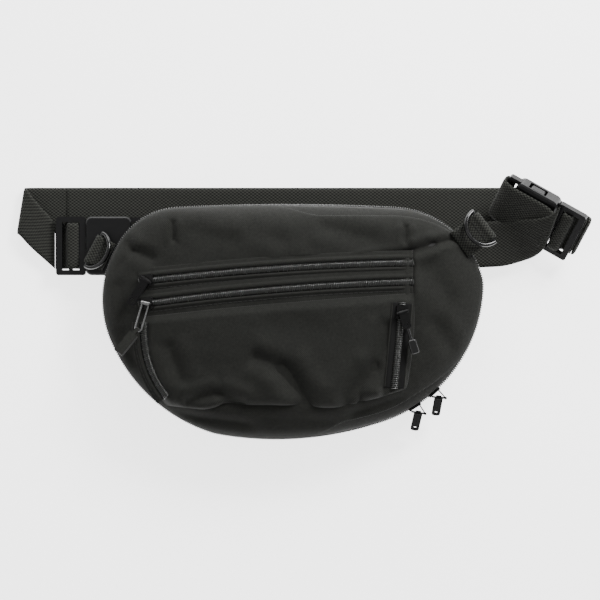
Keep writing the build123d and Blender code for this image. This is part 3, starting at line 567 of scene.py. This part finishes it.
def rear_cloth():
    """The rear half: gusset cloth, its lining, the rear tape and the seam at the back panel."""
    def side_rows(shrink, low, high):
        rows = []
        steps = 22
        for i in range(steps + 1):
            t = i / steps
            bow = math.sin(math.pi * t) * 4.2
            row = []
            for j in range(TURN):
                a = 2 * math.pi * j / TURN
                inner, outer = reach(BASE, a), reach(RIM, a) - 2.0
                r = inner + (outer - inner) * t ** 0.85 + bow - shrink
                spot = Vector((math.cos(a) * 6, math.sin(a) * 6, t * 2))
                wave = math.sin(math.pi * t) * (0.9 * noise.noise(spot))
                x, y = CENTRE[0] + (r + wave) * math.cos(a), CENTRE[1] + (r + wave) * math.sin(a)
                row.append((x, y, low + (high - low) * t))
            rows.append(row)
        return rows
    rows = side_rows(0.0, 2.2, RIM_Z - 6.5)
    piece = sheet_piece("rear_gusset_cloth", rows, CLOTH, unrolled(rows), wrap=True, thick=1.2)
    finish_piece(piece, REAR, "pack_cloth", "rear_gusset")
    profile = ((3.4, 22.4), (2.6, 24.0), (2.0, 26.0), (1.9, 28.0), (2.2, 29.4))
    band = [ring_points(inset, z) for inset, z in profile]
    tape = sheet_piece("main_zip_rear_band", band, TAPE, unrolled(band), wrap=True, thick=0.7)
    finish_piece(tape, REAR, "zip_tape", "main_zip_rear_tape")
    seam = tube("rear_seam", ring_points(2.6, 23.4), 0.9, CLOTH, 8, closed=True)
    finish_piece(seam, REAR, "pack_cloth")
    inner = [ring_points(0.5, TRAY_FLOOR, table=BASE)] + side_rows(3.2, TRAY_FLOOR, RIM_Z - 1.0)
    walls = sheet_piece("tray_lining", inner, LINING, unrolled(inner), wrap=True, thick=0.5)
    finish_piece(walls, REAR, "lining_cloth")


def back_pad():
    """The padded back with its sewn channels, and the lining over it inside."""
    channels = (-62.0, 0.0, 62.0)
    rows, top = [], []
    steps = 60
    for i in range(steps + 1):
        share = 0.01 + 0.99 * i / steps
        under, over = [], []
        for j in range(TURN // 2):
            a = 4 * math.pi * j / TURN
            edge = reach(BASE, a)
            x, y = CENTRE[0] + edge * share * math.cos(a), CENTRE[1] + edge * share * math.sin(a)
            inset = edge * (1 - share)
            swell = 1 - math.exp(-inset / 3.0)
            for line in channels:
                swell *= 1 - 0.8 * math.exp(-((x - line + 0.05 * y) / 2.2) ** 2)
            under.append((x, y, 2.6 * (1 - swell)))
            over.append((x, y, 6.2 + 0.5 * lumps(x, y, 30.0, 2.0) - 0.4 * (1 - swell)))
        rows.append(under)
        top.append(over)
    skin = rows + [[(x, y, 4.0) for x, y, _ in rows[-1]]] + [[(x, y, 5.6) for x, y, _ in rows[-1]]]
    skin = skin + list(reversed(top))
    pad = sheet_piece("back_pad", skin, MESH_BACK, flat_uvs(skin), wrap=True)
    finish_piece(pad, REAR, "pack_cloth", "back_panel_cloth", "back_padding")
    floor = [[(x, y, z + 0.5) for x, y, z in row] for row in top]
    lining = sheet_piece("back_lining_cloth", floor, LINING, flat_uvs(floor), wrap=True, thick=0.4)
    finish_piece(lining, REAR, "lining_cloth", "back_lining")
    edge = tube("back_binding", ring_points(-0.4, 3.0, table=BASE), 1.9, WEBBING, 10, closed=True)
    finish_piece(edge, REAR, "webbing")


# ---- the front pocket ----
def pocket_point(s, t):
    """Plan position on the pocket: s from its left to its right side, t from top seam to bottom fold."""
    top, bottom = quad(POCKET_TOP, s), spline(POCKET_BOTTOM, s)
    left, right = quad(POCKET_LEFT, t), quad(POCKET_RIGHT, t)
    c00, c10 = np.array(POCKET_TOP[0]), np.array(POCKET_TOP[-1])
    c01, c11 = np.array(POCKET_BOTTOM[0]), np.array(POCKET_BOTTOM[-1])
    corner = (1 - s) * (1 - t) * c00 + s * (1 - t) * c10 + (1 - s) * t * c01 + s * t * c11
    return (1 - t) * top + t * bottom + (1 - s) * left + s * right - corner


def pocket_lift(s, t, x, y):
    """How far the pocket cloth stands above the front."""
    side = min(s, 1 - s) * POCKET_WIDTH
    up = t * POCKET_DROP
    down = (1 - t) * POCKET_DROP
    lift = POCKET_RISE * smooth(side, -2.0, 9.0) * smooth(up, -2.0, 7.0)
    lift *= 1.0 + 0.5 * smooth(t, 0.55, 0.95)
    lift *= (1 - (1 - min(down / 9.0, 1.0)) ** 3) ** 0.5 if down < 9 else 1.0
    calm = smooth(side, 2.0, 18.0) * smooth(up, 2.0, 14.0)
    lift += calm * (1.2 * lumps(x, y, 42.0, 5.5) + 0.5 * lumps(x, y, 15.0, 1.2))
    lift -= crease(x, y, POCKET_CREASES)
    return max(lift, 0.25) if t < 0.9 else max(lift, 0.6)


def zip_bed(x, y, points, inner=8.5, outer=15.0):
    """1 on the flat ground that a side zip is sewn to, 0 well away from it."""
    low, high = points[-1][1], points[0][1]
    t = min(max((y - high) / (low - high), 0.0), 1.0)
    near_x, near_y = quad(points, t)
    return 1 - smooth(math.hypot(x - near_x, y - near_y), inner, outer)


def pocket_surface(s, t):
    """A point on the pocket's cloth, pressed flat beside its right-hand zip."""
    x, y = pocket_point(s, t)
    z = front_z(x, y, False) + pocket_lift(s, t, x, y)
    bed = zip_bed(x, y, ZIP_D)
    return x, y, z + (min(z, crown_z(x, y) + POCKET_RISE - 0.7) - z) * bed


def pocket_cloth():
    """The big pocket's cloth with its hem turned down at the bottom."""
    columns, lines = 230, 96
    rows = [[pocket_surface(i / columns, 0.004 + 0.996 * j / lines) for i in range(columns + 1)]
            for j in range(lines + 1)]
    hem = [(x, y - 0.8, z - 3.0) for x, y, z in rows[-1]]
    rows.append([(x, y - 0.5, z - 1.2) for x, y, z in rows[-1]])
    rows.append(hem)
    uvs = [[(x, y - (CROWN_TOP - z) * 0.2) for x, y, z in row] for row in rows]
    piece = sheet_piece("pocket_cloth", rows, CLOTH, uvs, thick=1.1)
    finish_piece(piece, FRONT, "pack_cloth", "pocket_panel", "pocket_gusset")


# ---- zips ----
def zip_frames(points, lift, count):
    """(point, along, across, up) at even steps along a pocket zip."""
    places = []
    for i in range(count + 1):
        x, y = quad(points, i / count)
        places.append(Vector((x, y, crown_z(x, y) + lift)))
    out = []
    for i, p in enumerate(places):
        along = (places[min(i + 1, count)] - places[max(i - 1, 0)]).normalized()
        up = Vector((p.x - CROWN_X, p.y - CROWN_Y, CROWN_RADIUS)).normalized()
        out.append((p, along, along.cross(up).normalized(), up))
    return out


def coil_loops(name, frames, width, height, wire=0.42, tilt=0.22):
    """The coil's turns, one small arch for each frame."""
    verts, faces = [], []
    sides, steps = 5, 6
    for p, along, across, up in frames:
        first = len(verts)
        for i in range(steps + 1):
            a = math.pi * i / steps
            lean = along * (i / steps - 0.5) * width * tilt
            centre = p - across * math.cos(a) * width / 2 + up * math.sin(a) ** 0.7 * height + lean
            out = (-across * math.cos(a) * 0.6 + up * math.sin(a)).normalized()
            for k in range(sides):
                b = 2 * math.pi * k / sides
                verts.append(centre + (out * math.cos(b) + along * math.sin(b)) * wire)
        for i in range(steps):
            for k in range(sides):
                n = (k + 1) % sides
                faces.append((first + i * sides + k, first + (i + 1) * sides + k,
                              first + (i + 1) * sides + n, first + i * sides + n))
    return mesh_piece(name, verts, faces, COIL)


def flat_strip(name, frames, width, lift, material, thick=0.7):
    """A flat band along a line of frames."""
    shares = np.linspace(-0.5, 0.5, 9)
    rows, uvs, run = [], [], 0.0
    for i, (p, _, across, up) in enumerate(frames):
        if i:
            run += (p - frames[i - 1][0]).length
        rows.append([p + across * width * k + up * lift for k in shares])
        uvs.append([(run, width * k) for k in shares])
    return sheet_piece(name, rows, material, uvs, thick=thick)


def shifted(frames, aside, lift):
    """The same frames moved sideways and up."""
    return [(p + across * aside + up * lift, along, across, up) for p, along, across, up in frames]


def tapered(frames, ends):
    """How wide a lip is along its length: it runs out into the cloth at both ends."""
    last = len(frames) - 1
    return [0.25 + 0.75 * smooth(min(i, last - i) / last, 0.0, ends) for i in range(last + 1)]


def lip_strip(name, frames, aside, width, lift):
    """Folded cloth edge along a zip: steep beside the coil, running out into the panel."""
    shares = np.linspace(0, 1, 12)
    rows, uvs, run = [], [], 0.0
    sizes = tapered(frames, 0.06)
    for i, ((p, _, across, up), size) in enumerate(zip(frames, sizes)):
        if i:
            run += (p - frames[i - 1][0]).length
        row = []
        for k in shares:
            rise = lift * math.sin(math.pi * min(k * 1.9, 1.0) ** 0.7) if k < 0.53 else lift * 0.28 * (1 - k)
            sag = -0.5 * k * k
            row.append(p + across * aside * (3.3 + width * k) + up * (0.9 + max(rise, 0.0) * size + sag))
        rows.append(row)
        uvs.append([(run, width * k) for k in shares])
    return sheet_piece(name, rows, CLOTH, uvs, thick=0.9)


def pocket_zip(name, points, lift, length, lips, width=14.0):
    """One zip on the front: tape, coil, the folded cloth lips beside it and their stitches."""
    fine = zip_frames(points, lift, 90)
    tape = flat_strip(f"{name}_tape_cloth", fine, width, 0.55, TAPE)
    for side in (-1, 1):
        line = [p for p, *_ in shifted(fine, side * width * 0.5, 0.35)]
        hem = tube(f"{name}_hem_{side + 1}", line, 0.6, CLOTH)
        finish_piece(hem, FRONT, "pack_cloth")
    finish_piece(tape, FRONT, "zip_tape", f"{name}_tape")
    turns = int(length / COIL_PITCH)
    arches = shifted(zip_frames(points, lift, turns), 0.0, 0.6)
    body = coil_loops(f"{name}_coil_turns", arches, COIL_W, COIL_H)
    finish_piece(body, FRONT, "zip_coil", f"{name}_coil")
    cord = flat_strip(f"{name}_coil_core", shifted(fine, 0.0, 0.9), 2.4, 0.6, TAPE, 0.9)
    finish_piece(cord, FRONT, "zip_tape")
    for side, aside in (("upper", -1), ("lower", 1)):
        if side not in lips:
            continue
        edge = lip_strip(f"{name}_{side}_lip", fine, aside, 6.6, 1.5)
        finish_piece(edge, FRONT, "pack_cloth")
        row = [(p, up) for p, _, _, up in shifted(fine[3:-3], aside * 7.4, 1.15)]
        finish_piece(stitches(f"{name}_{side}_stitches", row, THREAD), FRONT, "pack_cloth")


def main_coil():
    """Both halves of the main zip's coil round the rim."""
    count = int(2 * math.pi * RIM_RADIUS / MAIN_PITCH)
    for name, z, body, node in (("front", RIM_Z + 1.45, FRONT, "main_zip_front_coil"),
                                ("rear", RIM_Z - 1.35, REAR, "main_zip_rear_coil")):
        frames = []
        ring = ring_points(0.75, z, count)
        for i, p in enumerate(ring):
            p = Vector(p)
            along = (Vector(ring[(i + 1) % count]) - Vector(ring[i - 1])).normalized()
            frames.append((p, along, Vector((0, 0, 1)), along.cross(Vector((0, 0, 1)))))
        turns = coil_loops(f"main_zip_{name}_turns", frames, 2.5, 1.3, 0.4, 0.3)
        finish_piece(turns, body, "zip_coil", node)


# ---- webbing ----
def smooth_pairs(pairs, steps):
    """Edge points of a piece of webbing, filled in smoothly between its stations."""
    upper, lower = [p for p, _ in pairs], [q for _, q in pairs]
    count = (len(pairs) - 1) * steps
    return [(spline(upper, i / count), spline(lower, i / count)) for i in range(count + 1)]


def webbing(name, pairs, steps=8, thick=WEB_T):
    """A strap through pairs of edge points, with rounded selvedges."""
    line = smooth_pairs(pairs, steps)
    middles = [(a + b) / 2 for a, b in line]
    rows, uvs, run = [], [], 0.0
    shares = np.linspace(-1, 1, 15)
    for i, (upper, lower) in enumerate(line):
        if i:
            run += float(np.linalg.norm(middles[i] - middles[i - 1]))
        ahead = middles[min(i + 1, len(line) - 1)] - middles[max(i - 1, 0)]
        half = (upper - lower) / 2
        width = float(np.linalg.norm(half))
        out = np.cross(half, ahead)
        out = out / np.linalg.norm(out)
        row, uv = [], []
        for side in (1, -1):
            for k in shares * side:
                edge = thick / 2 * (1 - 0.55 * max(abs(k) - 0.93, 0.0) / 0.07)
                row.append(middles[i] + half * k + out * side * edge)
                uv.append((run + (0.5 if side < 0 else 0.0), k * width))
        rows.append(row)
        uvs.append(uv)
    piece = sheet_piece(name, rows, WEBBING, uvs, wrap=True)
    mesh = piece.data
    build = bmesh.new()
    build.from_mesh(mesh)
    build.verts.ensure_lookup_table()
    ring = len(rows[0])
    for first in (0, (len(rows) - 1) * ring):
        build.faces.new([build.verts[first + k] for k in range(ring)])
    bmesh.ops.recalc_face_normals(build, faces=build.faces)
    build.to_mesh(mesh)
    build.free()
    return piece


def pairs_in(matrix, line, half=WEB_W / 2, flip=1):
    """Stations of webbing that runs in a frame's xz plane."""
    out = []
    for x, z in line:
        a = matrix @ Vector((x, half * flip, z))
        b = matrix @ Vector((x, -half * flip, z))
        out.append((tuple(a), tuple(b)))
    return out


def free_pairs(stations, x, y):
    """Stations of webbing in the open: each is (middle, half width as a vector), measured from x, y."""
    out = []
    for (dx, dy, z), lean in stations:
        middle, half = Vector((x + dx, y + dy, z)), Vector(lean)
        out.append((tuple(middle + half), tuple(middle - half)))
    return out


def turned(place, *degrees):
    """A frame in mm: turned about Z, then Y, then X."""
    z, y, x = (math.radians(d) for d in degrees)
    return (Matrix.Translation(place) @ Matrix.Rotation(z, 4, "Z") @ Matrix.Rotation(y, 4, "Y")
            @ Matrix.Rotation(x, 4, "X"))


LEFT_X, RIGHT_X, BELT_Y, BELT_Z = -160.5, 149.7, 80.4, 1.3
LADDER_X = LEFT_X - 17.8 - 25.0
LEFT_BUCKLE = turned((LEFT_X - 17.8, BELT_Y - 30.0, 9.6), 0, 0, 0)
RIGHT_BUCKLE = turned((RIGHT_X + 56.6, BELT_Y - 11.9, 27.4), 150, 8, -40)
LEFT_TURN = [((-1.4, -30.0, 6.0), (0, 19, 0)), ((-8.95, -22.15, 7.0), (1.25, 19, 0)),
             ((-18.95, -12.15, 8.0), (2.25, 19, 0)), ((-27.5, -2.15, 7.6), (3, 19, 0)),
             ((-29.5, -0.7, 4.5), (3, 19, 0)), ((-24.7, 0.0, 1.5), (2, 19, 0)),
             ((9.5, 0.0, 1.22), (0, 19, 0))]
WING_CURL = [((-12.7, -29.4, 11.5), (0, 19, 0.5)), ((2.3, -28.85, 12.5), (0, 19, 1.5)),
             ((20.3, -28.0, 15.0), (0, 18.6, 4.0)), ((35.05, -25.65, 19.5), (-0.75, 16.75, 9.1)),
             ((46.3, -23.4, 27.0), (1.5, 15.5, 11.0)), ((54.4, -18.9, 35.25), (3.1, 14.5, 11.75)),
             ((57.8, -12.4, 40.75), (4.3, 13.5, 11.75))]


def belt():
    """The back run, the folds at both ends, the wings and the straps locked in the ladders."""
    half = WEB_W / 2
    run = [((x, BELT_Y + half, BELT_Z), (x, BELT_Y - half, BELT_Z)) for x in np.linspace(-196.0, 181.0, 12)]
    finish_piece(webbing("belt_back", run, 6), REAR, "webbing", "belt_back_run")
    left = webbing("belt_left", free_pairs(LEFT_TURN, LADDER_X, BELT_Y), 8)
    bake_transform(left)
    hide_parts("belt_left_fold")
    behind, under = -9.2, -3.6
    tail = [(-27.0, under), (-28.4, (under + behind) / 2), (-24.0, behind), (0.0, behind), (24.0, behind)]
    line = pairs_in(RIGHT_BUCKLE, tail, flip=-1)
    line += free_pairs([((38.3, 2.1, 7.7), (1.0, 18.5, 5.3))], RIGHT_X, BELT_Y)
    line += [((178.5, BELT_Y + 19.0, BELT_Z - 0.08), (178.5, BELT_Y - 19.0, BELT_Z - 0.08))]
    right = webbing("belt_right", line, 8)
    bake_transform(right)
    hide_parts("belt_right_fold")
    front = 7.5
    wing = free_pairs(WING_CURL, RIGHT_X, BELT_Y)
    over = [(-0.5, front + 2.8), (6.0, front + 0.8), (14.0, front), (38.0, front), (47.6, 4.4),
            (49.4, 0.0), (47.4, -4.2), (40.4, -4.0)]
    wing += pairs_in(RIGHT_BUCKLE, over, flip=-1)
    finish_piece(webbing("wing_right", wing, 8), REAR, "webbing", "right_wing_webbing")
    loop = [(40.8, -2.0), (40.8, 0.8), (42.2, 3.6), (48.0, 3.6), (51.4, -2.6), (66.8, -5.6)]
    finish_piece(webbing("wing_left", pairs_in(LEFT_BUCKLE, loop), 6), REAR, "webbing", "left_wing_webbing")
    lock = [(-6.25, -4.6), (-6.9, 0.0), (-7.9, 3.6), (-13.9, 3.6), (-15.7, 0.0), (-18.2, -3.6), (-26.0, -3.6)]
    for side, frame_in, plug in (("left", LEFT_BUCKLE, LEFT_PLUG), ("right", RIGHT_BUCKLE, RIGHT_PLUG)):
        strap = webbing(f"lock_strap_{side}", pairs_in(frame_in, lock), 6)
        finish_piece(strap, plug, "webbing", f"{side}_ladder_webbing")


def ring_tabs():
    """Cloth tabs folded round the bars of the D-rings, with their box stitching."""
    def tab(name, place, heading, climb, length, drop, body, node):
        h, c = math.radians(heading), math.radians(climb)
        away = Vector((math.cos(h) * math.cos(c), math.sin(h) * math.cos(c), math.sin(c)))
        across = Vector((0, 0, 1)).cross(away).normalized()
        out = away.cross(across)
        matrix = Matrix((away, across, out)).transposed().to_4x4()
        matrix.translation = Vector(place)
        line = [(-length, -drop + 0.7), (-length * 0.45, 0.9), (-4.4, 1.5)]
        for a in range(125, -126, -25):
            line.append((3.0 * math.cos(math.radians(a)), 3.0 * math.sin(math.radians(a))))
        line += [(-4.4, -1.6), (-length * 0.45, -1.1), (-length, -drop - 0.9)]
        strap = webbing(name, pairs_in(matrix, line, 12.5), 3, 1.5)
        finish_piece(strap, body, "webbing", node)
        near, far, half = -5.6, -length * 0.8, 10.4
        box = [(near, -half), (near, half), (far, half), (far, -half), (near, -half)]
        row = []
        for (x0, y0), (x1, y1) in zip(box, box[1:]):
            for k in range(12):
                x, y = x0 + (x1 - x0) * k / 12, y0 + (y1 - y0) * k / 12
                row.append((tuple(matrix @ Vector((x, y, 2.2 if x > -length * 0.5 else 1.7))), tuple(out)))
        finish_piece(stitches(f"{name}_stitches", row, THREAD), body, "webbing")
    tab("tab_left", (-170.5, 47.0, 20.5), 152.0, -14.0, 14.0, 0.0, REAR, "left_ring_tab")
    tab("tab_right", (150.5, 65.5, 44.0), 37.0, 4.0, 25.0, 1.0, FRONT, "right_ring_tab")


# ---- build ----
front_cloth()
front_band()
rear_cloth()
back_pad()
pocket_cloth()
pocket_zip("zip_a", ZIP_A, 0.15, 224, ("upper", "lower"))
pocket_zip("zip_b", ZIP_B, 0.15, 224, ("upper", "lower"))
pocket_zip("zip_c", ZIP_C, POCKET_RISE, 66, ("lower",), 12.0)
pocket_zip("zip_d", ZIP_D, POCKET_RISE + 0.4, 70, (), 16.0)
main_coil()
belt()
ring_tabs()

for node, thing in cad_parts.items():
    wanted = WEBBING
    if "buckle" in node:
        wanted = ACETAL
    elif "d_ring" in node or "grip" in node:
        wanted = GLOSS
    elif node == "zip_b_loop":
        wanted = WIRE
    elif node.startswith("main_zip") and "pull" in node:
        wanted = MATT
    elif "slider" in node or "pull" in node:
        wanted = LACQUER
    elif node == "zip_b_tab":
        wanted = CLOTH
    for slot in thing.material_slots:
        slot.material = wanted
    if wanted in (ACETAL, LACQUER) and "prongs" not in node:
        rounding = thing.modifiers.new("worn edges", "BEVEL")
        rounding.width = (0.5 if wanted is ACETAL else 0.18) * MM
        rounding.segments = 2
        rounding.limit_method = "ANGLE"
        rounding.angle_limit = math.radians(50)
        rounding.harden_normals = True


# ---- stage, light and camera ----
def studio():
    """White paper, even light from above, and three soft lamps."""
    floor = bpy.data.meshes.new("floor")
    half = 6.0
    floor.from_pydata([(-half, -half, 0), (half, -half, 0), (half, half, 0), (-half, half, 0)], [],
                      [(0, 1, 2, 3)])
    paper, _, shader = node_material("paper")
    shader.inputs["Base Color"].default_value = (0.9, 0.9, 0.9, 1)
    shader.inputs["Roughness"].default_value = 0.9
    shader.inputs["Emission Color"].default_value = (1, 1, 1, 1)
    shader.inputs["Emission Strength"].default_value = 2.6
    floor.materials.append(paper)
    ground = bpy.data.objects.new("floor", floor)
    ground.location.z = -0.0005
    bpy.context.scene.collection.objects.link(ground)
    world = bpy.data.worlds.new("studio")
    world.use_nodes = True
    world.node_tree.nodes["Background"].inputs["Color"].default_value = (1, 1, 1, 1)
    world.node_tree.nodes["Background"].inputs["Strength"].default_value = 0.60
    bpy.context.scene.world = world
    for name, place, size, power in (("key", (0.7, 0.9, 0.8), 0.45, 30.0),
                                     ("rim", (-0.2, 1.2, 0.45), 0.5, 9.0),
                                     ("fill", (-0.9, -0.4, 1.0), 1.2, 3.0)):
        light = bpy.data.lights.new(name, "AREA")
        light.size = size
        light.energy = power
        lamp = bpy.data.objects.new(name, light)
        lamp.location = place
        lamp.rotation_euler = (Vector((0, 0, 0.03)) - Vector(place)).to_track_quat("-Z", "Y").to_euler()
        bpy.context.scene.collection.objects.link(lamp)


def camera():
    """Straight above, a long lens."""
    lens = bpy.data.cameras.new("camera")
    focal, sensor = 135, 36
    lens.lens = focal
    lens.sensor_width = sensor
    view = bpy.data.objects.new("camera", lens)
    width, middle_y, subject_z = 0.495, 0.0054, 0.03
    away = width / 2 / math.tan(math.atan(sensor / 2 / focal))
    view.location = (0, middle_y, subject_z + away)
    bpy.context.scene.collection.objects.link(view)
    bpy.context.scene.camera = view


studio()
camera()
